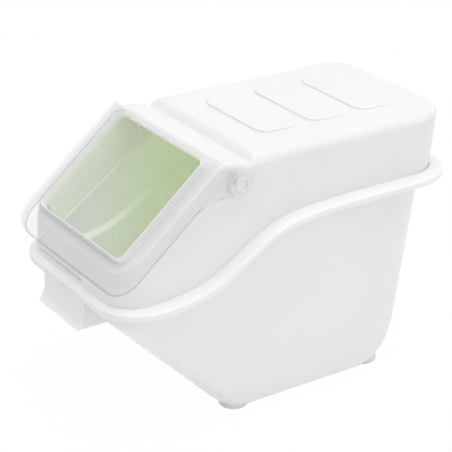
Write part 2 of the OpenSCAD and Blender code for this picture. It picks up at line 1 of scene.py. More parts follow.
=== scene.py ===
# %% [markdown]
# # Rice bin with a flip lid
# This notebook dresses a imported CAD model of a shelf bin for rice: a white tub, a white hood that
# lifts off it, a clear lid on two pins, and four soft pads. The CAD model fixes every size and every
# joint. What is left for Blender is how the mouldings look: small rounded edges, smooth shading over
# the lofted walls, and plastics that take light as the real ones do. The frame is loaded first, so
# that everything after it can be placed by what the CAD says.

import json
import math

import bpy
from mathutils import Matrix, Vector
from mathutils.bvhtree import BVHTree

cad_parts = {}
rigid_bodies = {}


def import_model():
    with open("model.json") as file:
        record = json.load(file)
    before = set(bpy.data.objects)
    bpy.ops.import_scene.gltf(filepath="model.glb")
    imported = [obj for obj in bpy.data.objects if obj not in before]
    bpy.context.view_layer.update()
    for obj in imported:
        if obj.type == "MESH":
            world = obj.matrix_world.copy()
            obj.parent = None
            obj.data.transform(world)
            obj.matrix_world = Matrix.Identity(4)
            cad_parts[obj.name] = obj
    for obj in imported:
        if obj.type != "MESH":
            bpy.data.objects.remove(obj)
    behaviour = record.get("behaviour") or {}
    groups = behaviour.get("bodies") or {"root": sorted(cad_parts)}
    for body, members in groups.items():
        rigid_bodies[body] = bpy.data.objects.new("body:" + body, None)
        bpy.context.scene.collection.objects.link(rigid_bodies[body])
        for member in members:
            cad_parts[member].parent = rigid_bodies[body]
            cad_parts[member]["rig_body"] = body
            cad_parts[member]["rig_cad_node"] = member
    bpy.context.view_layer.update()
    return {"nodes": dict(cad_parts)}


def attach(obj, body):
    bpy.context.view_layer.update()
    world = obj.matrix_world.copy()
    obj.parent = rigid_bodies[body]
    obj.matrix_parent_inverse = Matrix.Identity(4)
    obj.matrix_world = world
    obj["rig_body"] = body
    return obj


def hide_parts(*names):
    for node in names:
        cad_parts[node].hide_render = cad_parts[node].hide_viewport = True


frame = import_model()

# %% [markdown]
# ## The slanted mouth
# The mouth of the hood and the lid over it lie along one slanted plane, which passes through the
# pivot of the lid. Which edges stay sharp, which faces count as inside and where the lid is milky
# all go by a distance from that pivot or that plane. So both are named once, before they are used.

# %% Pivot and slanted plane
hinge_place = Vector((0, -0.0638, 0.2682))
slant = math.radians(40.4)
slant_normal = Vector((0, -math.sin(slant), math.cos(slant)))
down_slant = Vector((0, -math.cos(slant), -math.sin(slant)))


def height_over_slant(point):
    """How far a point lies over the slanted plane through the pivot."""
    return (point - hinge_place).dot(slant_normal)


print("the mouth slants by", round(math.degrees(slant), 1), "degrees")

# %% [markdown]
# ## Camera
# The bin is seen from a few paces away through a long lens, so parallel edges stay nearly parallel.
# The camera stands in front of the bin's right side and looks down on it. A constraint could aim it at the
# bin, but its direction is built from two angles here, and a slight roll levels it.

# %% Place and lens of the camera
camera_place = Vector((1.3090, -0.8839, 0.8957))
sensor_width = 36  # mm, as on a full-frame camera
picture_pixels = 452
focal_pixels = 1653

camera_data = bpy.data.cameras.new("shelf_view")
camera_data.sensor_width = sensor_width
camera_data.lens = sensor_width * focal_pixels / picture_pixels
camera = bpy.data.objects.new("shelf_view", camera_data)
bpy.context.scene.collection.objects.link(camera)
bpy.context.scene.camera = camera
print("camera", round(camera_place.length, 2), "m from the bin, lens", round(camera_data.lens), "mm")

# %% Direction of the camera
camera_azimuth = math.radians(56.353)
camera_elevation = math.radians(24.778)
camera_roll = math.radians(0.39)

look_x = -math.sin(camera_azimuth) * math.cos(camera_elevation)
look_y = math.cos(camera_azimuth) * math.cos(camera_elevation)
look = Vector((look_x, look_y, -math.sin(camera_elevation)))
level_right = Vector((math.cos(camera_azimuth), math.sin(camera_azimuth), 0))
level_up = level_right.cross(look)
right = math.cos(camera_roll) * level_right + math.sin(camera_roll) * level_up
up = math.cos(camera_roll) * level_up - math.sin(camera_roll) * level_right
turn = Matrix((right, up, -look)).transposed().to_4x4()
camera.matrix_world = Matrix.Translation(camera_place) @ turn
print("camera looks along", [round(c, 2) for c in look])

# %% [markdown]
# ## Building shaders in code
# A shader is a tree of nodes with links between their sockets. Drawn by hand it is easy to follow,
# and in code the same few steps come again and again: add a node, set some of its inputs, mix two
# shaders. A few small helpers keep the cells after this one short.


# %% Helpers for nodes
def add_node(tree, kind, **values):
    """A new shader node with the named inputs set; an underscore in a name stands for a space."""
    node = tree.nodes.new("ShaderNode" + kind)
    for label, value in values.items():
        node.inputs[label.replace("_", " ")].default_value = value
    return node


def new_material(name):
    """A material with an empty node tree, and that tree."""
    material = bpy.data.materials.new(name)
    material.use_nodes = True
    material.node_tree.nodes.clear()
    return material, material.node_tree


def end_material(tree, shader):
    """Makes a shader the surface of its material."""
    tree.links.new(shader, add_node(tree, "OutputMaterial").inputs["Surface"])


def mixed_shader(tree, factor, first, second):
    """The mix of two shaders that goes from the first to the second as the factor grows."""
    node = add_node(tree, "MixShader")
    tree.links.new(factor, node.inputs["Fac"])
    tree.links.new(first, node.inputs[1])
    tree.links.new(second, node.inputs[2])
    return node.outputs[0]


def for_rays(tree, *kinds):
    """A socket that is 1 for the kinds of ray that are named, and 0 for all others."""
    path = add_node(tree, "LightPath")
    most = path.outputs[kinds[0]]
    for kind in kinds[1:]:
        larger = add_node(tree, "Math")
        larger.operation = "MAXIMUM"
        tree.links.new(most, larger.inputs[0])
        tree.links.new(path.outputs[kind], larger.inputs[1])
        most = larger.outputs[0]
    return most


print("helpers for nodes are ready")

# %% [markdown]
# ## Floor and light
# White plastic only shows its shape when the light on it is soft and nearly even, as in a light
# tent. The world gives most of the light, and one broad lamp overhead and one at the side add a
# little direction. The floor is pale. What the camera sees of floor and world, directly, in a
# mirror or through clear plastic, is lifted to white with the Light Path node, in their own
# materials, so no extra light falls on the bin.

# %% World
SEEN_RAYS = ("Is Camera Ray", "Is Glossy Ray", "Is Transmission Ray")
scene = bpy.context.scene
scene.view_settings.view_transform = "Standard"
world = bpy.data.worlds.new("light_tent")
scene.world = world
world.use_nodes = True
tree = world.node_tree
tree.nodes.clear()
sky = add_node(tree, "Background", Color=(1, 1, 1, 1), Strength=0.7)
backdrop = add_node(tree, "Background", Color=(1, 1, 1, 1), Strength=1)
seen = mixed_shader(tree, for_rays(tree, *SEEN_RAYS), sky.outputs[0], backdrop.outputs[0])
tree.links.new(seen, add_node(tree, "OutputWorld").inputs["Surface"])
print("world strength", round(sky.inputs["Strength"].default_value, 2))

# %% Floor
FLOOR_SIZE = 8
GLOW_SHARE = 0.97  # the rest keeps the shadow of the bin
bpy.ops.object.select_all(action="DESELECT")
bpy.ops.mesh.primitive_plane_add(size=FLOOR_SIZE, location=(0, 0, 0))
floor = bpy.context.object
floor.name = "floor"
floor_paint, tree = new_material("pale_floor")
paint = add_node(tree, "BsdfDiffuse", Color=(0.95, 0.95, 0.95, 1))
glow = add_node(tree, "Emission", Strength=1)
share = add_node(tree, "Math")
share.operation = "MULTIPLY"
share.inputs[1].default_value = GLOW_SHARE
tree.links.new(for_rays(tree, *SEEN_RAYS), share.inputs[0])
end_material(tree, mixed_shader(tree, share.outputs[0], paint.outputs[0], glow.outputs[0]))
floor.data.materials.append(floor_paint)
print("floor", [round(d, 1) for d in floor.dimensions])

# %% Lamps
LAMPS_AIM = Vector((0, 0, 0.15))


def soft_lamp(name, place, size, power):
    """A square area lamp that faces the middle of the bin."""
    data = bpy.data.lights.new(name, "AREA")
    data.size = size
    data.energy = power
    lamp = bpy.data.objects.new(name, data)
    scene.collection.objects.link(lamp)
    lamp.location = place
    lamp.rotation_euler = (LAMPS_AIM - Vector(place)).to_track_quat("-Z", "Y").to_euler()
    print(name, "at", place, power, "W")


soft_lamp("top_lamp", (0.2, 0.1, 2.2), 1.8, 18)
soft_lamp("side_lamp", (2.0, 0.3, 1.2), 1.4, 5)

# %% [markdown]
# ## Moulded plastic
# Tub and hood are injection moulded in a milky white plastic. Its surface isn't a mirror: it has a
# very fine grain from the mould, broad shallow waves where it shrank, and a shine that changes a
# little from place to place. All three come from noise on Object coordinates, and more than one
# plastic needs them, so they are one node group with its own sockets.


# %% Helpers for groups and patterns
def new_group(name, inputs, outputs):
    """An empty node group with its sockets, its input node and its output node."""
    group = bpy.data.node_groups.new(name, "ShaderNodeTree")
    for label, kind, value in inputs:
        socket = group.interface.new_socket(name=label, in_out="INPUT", socket_type=kind)
        socket.default_value = value
    for label, kind in outputs:
        group.interface.new_socket(name=label, in_out="OUTPUT", socket_type=kind)
    return group, group.nodes.new("NodeGroupInput"), group.nodes.new("NodeGroupOutput")


def noise(tree, where, scale, detail):
    """A cloudy pattern from 0 to 1; a larger scale makes it finer."""
    node = add_node(tree, "TexNoise", Scale=scale, Detail=detail)
    tree.links.new(where, node.inputs["Vector"])
    return node.outputs["Fac"]


def mapped(tree, value, span, levels, smooth=False):
    """Turns a value that runs over a span into one between two levels, each a number or a socket."""
    node = add_node(tree, "MapRange", From_Min=span[0], From_Max=span[1])
    if smooth:
        node.interpolation_type = "SMOOTHSTEP"
    tree.links.new(value, node.inputs["Value"])
    for label, level in zip(("To Min", "To Max"), levels):
        if isinstance(level, (int, float)):
            node.inputs[label].default_value = level
        else:
            tree.links.new(level, node.inputs[label])
    return node.outputs["Result"]


def mixed_colour(tree, factor, first, second):
    """The mix of two colours that goes from the first to the second as the factor grows."""
    node = add_node(tree, "Mix")
    node.data_type = "RGBA"
    tree.links.new(factor, node.inputs["Factor"])
    tree.links.new(first, node.inputs["A"])
    tree.links.new(second, node.inputs["B"])
    return node.outputs["Result"]


print("helpers for groups are ready")

# %% The group that gives a moulded surface: tone and shine
NOISE_SPAN = (0.3, 0.7)  # where nearly all values of the noise lie
moulding, into, out = new_group(
    "moulded_surface",
    [
        ("Fresh", "NodeSocketColor", (0.9, 0.9, 0.9, 1)),
        ("Clouded", "NodeSocketColor", (0.88, 0.88, 0.88, 1)),
        ("Shine Low", "NodeSocketFloat", 0.3),
        ("Shine High", "NodeSocketFloat", 0.4),
        ("Grain", "NodeSocketFloat", 0.1),
    ],
    [("Color", "NodeSocketColor"), ("Roughness", "NodeSocketFloat"), ("Normal", "NodeSocketVector")],
)
spot = add_node(moulding, "TexCoord").outputs["Object"]
clouds = mapped(moulding, noise(moulding, spot, 9, 3), NOISE_SPAN, (0, 1))
tone = mixed_colour(moulding, clouds, into.outputs["Fresh"], into.outputs["Clouded"])
moulding.links.new(tone, out.inputs["Color"])
shine_levels = (into.outputs["Shine Low"], into.outputs["Shine High"])
shine = mapped(moulding, noise(moulding, spot, 22, 4), NOISE_SPAN, shine_levels)
moulding.links.new(shine, out.inputs["Roughness"])
print("group", moulding.name, "has tone and shine")

# %% The group that gives a moulded surface: waves and grain
broad = add_node(moulding, "Bump", Strength=0.25, Distance=0.002)
moulding.links.new(noise(moulding, spot, 14, 1), broad.inputs["Height"])
fine = add_node(moulding, "Bump", Distance=0.0001)
moulding.links.new(into.outputs["Grain"], fine.inputs["Strength"])
moulding.links.new(noise(moulding, spot, 1400, 2), fine.inputs["Height"])
moulding.links.new(broad.outputs["Normal"], fine.inputs["Normal"])
moulding.links.new(fine.outputs["Normal"], out.inputs["Normal"])
print("group", moulding.name, "has", len(moulding.nodes), "nodes")

# %% [markdown]
# ## White and grey plastics
# The group only gives colours, values and normals. The Principled shader itself stays in each
# material, with whatever is the same all over the surface set on its own sockets: how strongly the
# plastic bends light, and for the milky ones how far light wanders under the skin.

# %% A material of moulded plastic
MILKY_DEPTH = 0.003
PLASTIC_IOR = 1.49


def moulded(name, fresh, clouded, shine, grain, depth=0):
    """A moulded plastic and its shader; a depth lets light wander that far under the surface."""
    material, tree = new_material(name)
    shader = add_node(tree, "BsdfPrincipled", IOR=PLASTIC_IOR)
    end_material(tree, shader.outputs[0])
    surface = add_node(tree, "Group")
    surface.node_tree = moulding
    surface.inputs["Fresh"].default_value = (*fresh, 1)
    surface.inputs["Clouded"].default_value = (*clouded, 1)
    surface.inputs["Shine Low"].default_value = shine[0]
    surface.inputs["Shine High"].default_value = shine[1]
    surface.inputs["Grain"].default_value = grain
    tree.links.new(surface.outputs["Color"], shader.inputs["Base Color"])
    tree.links.new(surface.outputs["Roughness"], shader.inputs["Roughness"])
    tree.links.new(surface.outputs["Normal"], shader.inputs["Normal"])
    if depth:
        shader.inputs["Subsurface Weight"].default_value = 1
        shader.inputs["Subsurface Radius"].default_value = (1, 1, 1)
        shader.inputs["Subsurface Scale"].default_value = depth
    print("material", name)
    return material, shader


# %% Outside of the bin, pins and pads
tub_white = moulded(
    "tub_white_plastic", (0.86, 0.865, 0.86), (0.83, 0.845, 0.835), (0.3, 0.42), 0.12, MILKY_DEPTH)[0]
hood_white = moulded(
    "hood_white_plastic", (0.825, 0.825, 0.825), (0.805, 0.805, 0.805), (0.28, 0.38), 0.1, MILKY_DEPTH)[0]
pin_white = moulded("pin_white_plastic", (0.8, 0.8, 0.79), (0.77, 0.77, 0.76), (0.2, 0.3), 0.05)[0]
pad_grey = moulded("pad_grey_rubber", (0.88, 0.88, 0.85), (0.83, 0.83, 0.8), (0.6, 0.75), 0.5)[0]

# %% [markdown]
# ## Plastics inside the bin
# The inside is a pale sage green. It is lit by what comes through the milky walls, which is more than the
# shaders pass on, so a weak painted glow stands in for the rest. Towards the mouth, where more light falls
# in, the colour is painted paler and the glow brighter, so colour and glow follow one mask that runs from
# the rear to the front. A second mask paints the same surface whiter and glowing where it stands out over
# the slanted face, as the mouth's collar: painted light for the light from outside that shines through it.
# The glow is multiplied into the emission colour, so its strength can stay a plain 1.

# %% The masks of painted light inside
REAR_Y, FRONT_Y = 0, -0.16
COLLAR_FOOT, COLLAR_TOP = 0.2715, 0.2735  # along the slanted normal, from the origin
mouth_light, into, out = new_group(
    "mouth_light",
    [
        ("Rear Colour", "NodeSocketColor", (0.8, 0.85, 0.7, 1)),
        ("Front Colour", "NodeSocketColor", (0.8, 0.85, 0.8, 1)),
        ("Collar Backlit Colour", "NodeSocketColor", (0.81, 0.82, 0.8, 1)),
        ("Rear Glow", "NodeSocketFloat", 0.1),
        ("Front Glow", "NodeSocketFloat", 0.2),
        ("Collar Glow", "NodeSocketFloat", 0.3),
    ],
    [("Color", "NodeSocketColor"), ("Glow", "NodeSocketColor")],
)
spot = add_node(mouth_light, "TexCoord").outputs["Object"]
split = add_node(mouth_light, "SeparateXYZ")
mouth_light.links.new(spot, split.inputs[0])
to_front = mapped(mouth_light, split.outputs["Y"], (REAR_Y, FRONT_Y), (0, 1), smooth=True)
lean = add_node(mouth_light, "VectorMath")
lean.operation = "DOT_PRODUCT"
lean.inputs[1].default_value = slant_normal
mouth_light.links.new(spot, lean.inputs[0])
collar = mapped(mouth_light, lean.outputs["Value"], (COLLAR_FOOT, COLLAR_TOP), (0, 1), smooth=True)
print("masks in", mouth_light.name, "run along Y and along the slanted normal")

# %% Colour and painted glow inside
wall_colour = mixed_colour(mouth_light, to_front, into.outputs["Rear Colour"], into.outputs["Front Colour"])
# Painted light: the collar is painted whiter and glows more, as if lit from behind through the lid.
colour = mixed_colour(mouth_light, collar, wall_colour, into.outputs["Collar Backlit Colour"])
mouth_light.links.new(colour, out.inputs["Color"])
wall_levels = (into.outputs["Rear Glow"], into.outputs["Front Glow"])
wall_glow = mapped(mouth_light, to_front, (0, 1), wall_levels, smooth=True)
glow = mapped(mouth_light, collar, (0, 1), (wall_glow, into.outputs["Collar Glow"]), smooth=True)
glowing = add_node(mouth_light, "VectorMath")
glowing.operation = "SCALE"
mouth_light.links.new(colour, glowing.inputs[0])
mouth_light.links.new(glow, glowing.inputs["Scale"])
mouth_light.links.new(glowing.outputs["Vector"], out.inputs["Glow"])
print("group", mouth_light.name, "has", len(mouth_light.nodes), "nodes")

# %% Sage walls, cheeks, ledge and seam, with painted light
INSIDE_SHINE = (0.22, 0.32)
INSIDE_GRAIN = 0.05


def inside_plastic(name, rear, front, rear_glow, front_glow, collar_glow):
    """A moulded plastic whose colour and painted glow follow the two masks of painted light inside."""
    material, shader = moulded(name, rear, front, INSIDE_SHINE, INSIDE_GRAIN, MILKY_DEPTH)
    tree = material.node_tree
    light = add_node(tree, "Group")
    light.node_tree = mouth_light
    light.inputs["Rear Colour"].default_value = (*rear, 1)
    light.inputs["Front Colour"].default_value = (*front, 1)
    light.inputs["Rear Glow"].default_value = rear_glow
    light.inputs["Front Glow"].default_value = front_glow
    light.inputs["Collar Glow"].default_value = collar_glow
    tree.links.new(light.outputs["Color"], shader.inputs["Base Color"])
    tree.links.new(light.outputs["Glow"], shader.inputs["Emission Color"])
    shader.inputs["Emission Strength"].default_value = 1
    return material


# Painted light: every inside plastic glows; cheeks and ledge are painted paler towards the mouth, and the
# ledge glows more as a painted highlight.
sage_glow_inside = inside_plastic(
    "sage_glow_inside_plastic", (0.80, 0.86, 0.67), (0.84, 0.865, 0.87), 0.12, 0.135, 0.1)
cheek_lit_inside = inside_plastic(
    "cheek_lit_inside_plastic", (0.79, 0.84, 0.68), (0.83, 0.865, 0.79), 0.07, 0.08, 0.1)
ledge_lit_inside = inside_plastic(
    "ledge_lit_inside_plastic", (0.80, 0.86, 0.69), (0.86, 0.89, 0.87), 0.13, 0.3, 0.3)
# Painted light: the seam is painted nearly white and glows, for light that shines through the thin walls
# there.
seam_glow_inside, shader = moulded(
    "seam_glow_inside_plastic", (0.85, 0.86, 0.85), (0.84, 0.85, 0.84), INSIDE_SHINE, INSIDE_GRAIN, MILKY_DEPTH)
shader.inputs["Emission Color"].default_value = (0.85, 0.86, 0.85, 1)
shader.inputs["Emission Strength"].default_value = 0.35

# %% [markdown]
# ## Clear plastic
# The lid is clear, glossy and under 2 mm thick. Such a thin wall hardly moves what is seen through
# it: it takes a little light from it, more so where the wall is seen edge on, and mirrors more of
# the surroundings there. A glass shader would bend the light, and few rays would find their way
# through its many walls. So the lid lets light pass straight through, with a tint that deepens
# towards grazing views, under a gloss that grows in the same way, on its front faces only. Light
# from the lamps and between the walls passes it too, which keeps the inside of the bin bright.

# %% Surface of the clear lid
clear_plastic, tree = new_material("clear_lid_plastic")
spot = add_node(tree, "TexCoord").outputs["Object"]
flow = add_node(tree, "Bump", Strength=0.06, Distance=0.001)
tree.links.new(noise(tree, spot, 30, 2), flow.inputs["Height"])
edge_on = add_node(tree, "LayerWeight", Blend=0.5)


def towards_edge(power, levels):
    """A value that grows from the first level face on to the second edge on."""
    steep = add_node(tree, "Math")
    steep.operation = "POWER"
    steep.inputs[1].default_value = power
    tree.links.new(edge_on.outputs["Facing"], steep.inputs[0])
    return mapped(tree, steep.outputs[0], (0, 1), levels)


tint = add_node(tree, "Mix")
tint.data_type = "RGBA"
tint.inputs["A"].default_value = (0.965, 0.965, 0.967, 1)
tint.inputs["B"].default_value = (0.9, 0.9, 0.915, 1)
tree.links.new(towards_edge(4, (0, 1)), tint.inputs["Factor"])
let_through = add_node(tree, "BsdfTransparent")
tree.links.new(tint.outputs["Result"], let_through.inputs["Color"])
print("clear lid tint", [round(c, 2) for c in tint.inputs["A"].default_value[:3]])

# %% Gloss of the clear lid
gloss = add_node(tree, "BsdfGlossy", Roughness=0.06)
tree.links.new(flow.outputs["Normal"], gloss.inputs["Normal"])
front_only = add_node(tree, "Mix")
tree.links.new(add_node(tree, "NewGeometry").outputs["Backfacing"], front_only.inputs["Factor"])
tree.links.new(towards_edge(5, (0.07, 0.8)), front_only.inputs["A"])
front_only.inputs["B"].default_value = 0
mirror = mixed_shader(tree, front_only.outputs["Result"], let_through.outputs[0], gloss.outputs[0])
print("gloss roughness", round(gloss.inputs["Roughness"].default_value, 2))

# %% [markdown]
# ## Milky hinge eyes and bright edges
# The two thick eyes of the hinge are rough inside, so a mask round the pivot line makes them a little
# milky. The narrow rims and rounded edges of the lid look dark from one side and bright from the other.
# They get a material of their own with painted light: by the direction that the surface faces on the
# object, edges turned towards +X, the side of the side lamp, get more gloss as a painted highlight, and
# edges turned towards -X a dark tint as painted shade.


# %% Milky eyes
def lit_through(tree, seen):
    """Ends a clear material: lamps and scattered light pass it, other rays meet the shader seen."""
    passing = add_node(tree, "BsdfTransparent", Color=(0.998, 0.998, 0.999, 1))
    scattered = for_rays(tree, "Is Shadow Ray", "Is Diffuse Ray")
    end_material(tree, mixed_shader(tree, scattered, seen, passing.outputs[0]))


EYE_RIM = (0.0142, 0.0148)  # from the pivot line
MOST_MILKY = 0.4
across = add_node(tree, "VectorMath")
across.operation = "MULTIPLY"
across.inputs[1].default_value = (0, 1, 1)
tree.links.new(spot, across.inputs[0])
from_hinge = add_node(tree, "VectorMath")
from_hinge.operation = "DISTANCE"
from_hinge.inputs[1].default_value = hinge_place
tree.links.new(across.outputs["Vector"], from_hinge.inputs[0])
frost = add_node(tree, "BsdfDiffuse", Color=(0.87, 0.87, 0.86, 1))
milky = mapped(tree, from_hinge.outputs["Value"], EYE_RIM, (MOST_MILKY, 0), smooth=True)
lit_through(tree, mixed_shader(tree, milky, mirror, frost.outputs[0]))
print("material", clear_plastic.name, "has", len(tree.nodes), "nodes")

# %% Rounded edges of the lid, with painted highlight and shade
clear_edge, tree = new_material("clear_lid_edge")
facing = add_node(tree, "SeparateXYZ")
tree.links.new(add_node(tree, "NewGeometry").outputs["Normal"], facing.inputs[0])
LEFT_TO_RIGHT = (-0.3, 0.7)
# Painted light: gloss on edges facing +X and a dark tint on edges facing -X, whatever the lamps do.
catch = mapped(tree, facing.outputs["X"], LEFT_TO_RIGHT, (0.15, 0.75), smooth=True)
dim = add_node(tree, "BsdfTransparent", Color=(0.56, 0.57, 0.62, 1))
bright = add_node(tree, "BsdfGlossy", Roughness=0.25)
lit_through(tree, mixed_shader(tree, catch, dim.outputs[0], bright.outputs[0]))
print("material", clear_edge.name, "has", len(tree.nodes), "nodes")

# %% [markdown]
# ## Finished mouldings
# The CAD mesh of each shell is exact in size, but its lofted walls are flat facets with hard edges.
# Real mouldings have no sharp edge anywhere. They could be modelled again with subdivision, but
# then they would no longer be the sizes that the CAD fixes. So a copy of each node has its doubled
# points merged and its flat stretches joined into whole faces, and these are cut into well-shaped
# triangles again, because a bevel folds over a face with a hole in it. A small bevel then goes on
# the sharp edges, and the shading is smoothed up to the same angle. The copy replaces its node.


# %% A copy of a CAD node with whole faces
def copy_of(node, name):
    """A free copy of a CAD node with its own mesh, selected and active."""
    source = frame["nodes"][node]
    piece = source.copy()
    piece.data = source.data.copy()
    piece.name = name
    piece.data.name = name
    piece.parent = None
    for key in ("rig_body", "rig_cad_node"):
        del piece[key]
    scene.collection.objects.link(piece)
    bpy.ops.object.select_all(action="DESELECT")
    piece.select_set(True)
    bpy.context.view_layer.objects.active = piece
    return piece


def join_flat_faces(flat):
    """Merges doubled points of the active piece and joins faces that lie within flat degrees."""
    bpy.ops.mesh.customdata_custom_splitnormals_clear()
    bpy.ops.object.mode_set(mode="EDIT")
    bpy.ops.mesh.select_all(action="SELECT")
    bpy.ops.mesh.remove_doubles(threshold=1e-6)
    bpy.ops.mesh.dissolve_limited(angle_limit=math.radians(flat))
    bpy.ops.object.mode_set(mode="OBJECT")


print("helpers for copies are ready")

# %% [markdown]
# ### Which edges are rounded
# A few edges of the roof are softer than the rest and are rounded first. Then every edge that turns
# by more than 32 degrees gets a bevel weight. Two kinds stay sharp: those that a piece's own test
# picks by their place, and those beside a face too narrow to hold a round edge on both sides.


# %% Softer edges
def soften(piece, chosen, width):
    """Rounds the edges whose two ends are both chosen, by more than the rest; returns their number."""
    mesh = piece.data
    bpy.ops.object.mode_set(mode="EDIT")
    bpy.ops.mesh.select_mode(type="EDGE")
    bpy.ops.mesh.select_all(action="DESELECT")
    bpy.ops.object.mode_set(mode="OBJECT")
    for edge in mesh.edges:
        edge.select = all(chosen(mesh.vertices[i].co) for i in edge.vertices)
    picked = sum(edge.select for edge in mesh.edges)
    bpy.ops.object.mode_set(mode="EDIT")
    bpy.ops.mesh.bevel(offset=width, segments=4, affect="EDGES", clamp_overlap=False)
    bpy.ops.object.mode_set(mode="OBJECT")
    return picked


print("softer edges are picked by their place")

# %% Bevel weights
SHARP_ANGLE = math.radians(32)


def narrow_edges(mesh, least):
    """Keys of the edges with a face beside them that is narrower than this, where a bevel would fold."""
    narrow = set()
    for face in mesh.polygons:
        corners = [mesh.vertices[i].co for i in face.vertices]
        for key in face.edge_keys:
            start, end = (mesh.vertices[i].co for i in key)
            along = (end - start).normalized()
            if max((corner - start).cross(along).length for corner in corners) < least:
                narrow.add(key)
    return narrow


def mark_edges(piece, left_sharp, least):
    """Gives a bevel weight to every sharp edge, but not where it is narrow or left sharp."""
    mesh = piece.data
    narrow = narrow_edges(mesh, least)
    bpy.ops.object.mode_set(mode="EDIT")
    bpy.ops.mesh.select_mode(type="FACE")
    bpy.ops.mesh.select_all(action="SELECT")
    bpy.ops.mesh.quads_convert_to_tris(quad_method="BEAUTY", ngon_method="BEAUTY")
    bpy.ops.mesh.select_mode(type="EDGE")
    bpy.ops.mesh.select_all(action="DESELECT")
    bpy.ops.mesh.edges_select_sharp(sharpness=SHARP_ANGLE)
    bpy.ops.object.mode_set(mode="OBJECT")
    weights = mesh.attributes.new("bevel_weight_edge", "FLOAT", "EDGE").data
    for edge in mesh.edges:
        inner = all(left_sharp(mesh.vertices[i].co) for i in edge.vertices)
        weights[edge.index].value = 0.0 if inner or edge.key in narrow or not edge.select else 1.0


print("edges that turn by more than", round(math.degrees(SHARP_ANGLE)), "degrees count as sharp")

# %% [markdown]
# ### From copy to finished moulding
# The bevel modifier reads the weights. It may push a point off the surface where many edges meet, so
# a shrinkwrap pulls such strays back onto the CAD shape. Shading by angle and weighted normals then
# give even light over flat and lofted faces alike.


# %% Bevel, strays and shading
def pull_back(piece, source, reach):
    """Moves points that lie further than reach from the source back onto it; returns their number."""
    tree = BVHTree.FromObject(source, bpy.context.evaluated_depsgraph_get())
    far = [v.index for v in piece.data.vertices if tree.find_nearest(v.co)[3] > reach]
    if far:
        group = piece.vertex_groups.new(name="stray")
        group.add(far, 1, "REPLACE")
        wrap = piece.modifiers.new("pull_back", "SHRINKWRAP")
        wrap.target = source
        wrap.vertex_group = group.name
        bpy.ops.object.modifier_apply(modifier=wrap.name)
        piece.vertex_groups.clear()
    return len(far)


def round_edges(piece, width, slot):
    """Bevels the weighted edges; the new faces get the material of this slot, or their own for -1."""
    bevel = piece.modifiers.new("small_round", "BEVEL")
    bevel.width = width
    bevel.offset_type = "WIDTH"
    bevel.segments = 2
    bevel.limit_method = "WEIGHT"
    bevel.use_clamp_overlap = False
    bevel.material = slot
    bpy.ops.object.modifier_apply(modifier=bevel.name)


def shade(piece):
    """Smooths the shading over small angles and evens it over flat faces."""
    bpy.ops.object.shade_smooth_by_angle(angle=math.radians(34))
    even = piece.modifiers.new("even_normals", "WEIGHTED_NORMAL")
    even.keep_sharp = True
    bpy.ops.object.modifier_apply(modifier=even.name)


print("helpers for round edges are ready")


# %% The whole way for one moulding
NARROW = 1.6  # a face of fewer edge widths than this can't hold two round edges
STRAY = 0.8  # a small round edge moves no point by more of its width than this
SOFT_STRAY = 0.5  # and a softer edge by no more of its width than this


def finished(node, name, body, flat, edge_width, materials, left_sharp, softer=(), edge_slot=-1):
    """A finished copy of a CAD node that rides on its body and stands for the node.

    flat is in degrees and edge_width in metres; left_sharp and the first of each pair in softer are
    tests for a point, and the second is the width of that softer edge.
    """
    piece = copy_of(node, name)
    join_flat_faces(flat)
    for chosen, width in softer:
        print(name, "has", soften(piece, chosen, width), "softer edges of", width)
    mark_edges(piece, left_sharp, NARROW * edge_width)
    round_edges(piece, edge_width, edge_slot)
    reach = max([STRAY * edge_width] + [SOFT_STRAY * width for chosen, width in softer])
    stray = pull_back(piece, frame["nodes"][node], reach)
    shade(piece)
    piece.data.materials.clear()
    for material in materials:
        piece.data.materials.append(material)
    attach(piece, body)
    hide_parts(node)
    print(name, "has", len(piece.data.polygons), "faces;", stray, "stray points pulled back")
    return piece


print("one call finishes a moulding")

# %% [markdown]
# ### Places that are treated on their own
# An edge is known by where its ends are, so each special place gets a short test for a point: the
# front edges of the raised panels, which are softer on the real hood, and the spots where a bevel
# would fold over its neighbours. The plan outline of the hood is needed for the inside as well.

# %% The roof and its raised panels
HOOD_HALF_WIDTH = 0.0975
HOOD_HALF_LENGTH = 0.198
HOOD_CORNER = 0.034
PANEL_PITCH = 0.0617
FIRST_PANEL_Y = -0.0083
PANELS_END_Y = 0.17
PANEL_HALF_WIDTH = 0.056
PANEL_FRONT_PART = 0.03
PANEL_LOW = 0.0009


def roof_height(point):
    """Height of the plain roof at a point: it falls a little to the rear and to the sides."""
    fall = (point.y + 0.0363) * 0.008
    crown = 0.002 * (point.x / HOOD_HALF_WIDTH) ** 2
    return 0.2914 - fall - crown


def on_panel_top(point):
    """True on the upper front edges of the three raised roof panels."""
    panels_before = math.floor((point.y - FIRST_PANEL_Y) / PANEL_PITCH)
    along = point.y - PANEL_PITCH * panels_before - FIRST_PANEL_Y
    on_panels = abs(point.x) < PANEL_HALF_WIDTH and -0.009 < point.y < PANELS_END_Y
    return on_panels and along < PANEL_FRONT_PART and point.z > roof_height(point) + PANEL_LOW


def beyond_hood(point):
    """How far a point lies outside the plan outline of the hood."""
    across = max(0, abs(point.x) - HOOD_HALF_WIDTH + HOOD_CORNER)
    along = max(0, abs(point.y) - HOOD_HALF_LENGTH + HOOD_CORNER)
    return math.hypot(across, along) - HOOD_CORNER


print("panels every", PANEL_PITCH, "m from", FIRST_PANEL_Y)

# %% Where edges stay sharp
PIN_REACH = 0.0175


def by_the_pin(point):
    """True on the eyes of the hinge and round the pin bores."""
    return math.hypot(point.y - hinge_place.y, point.z - hinge_place.z) < PIN_REACH


def by_the_grip(point):
    """True where the sides of the front grip run into the rim."""
    return 0.036 < abs(point.x) < 0.044 and point.y < -0.19 and point.z > 0.125


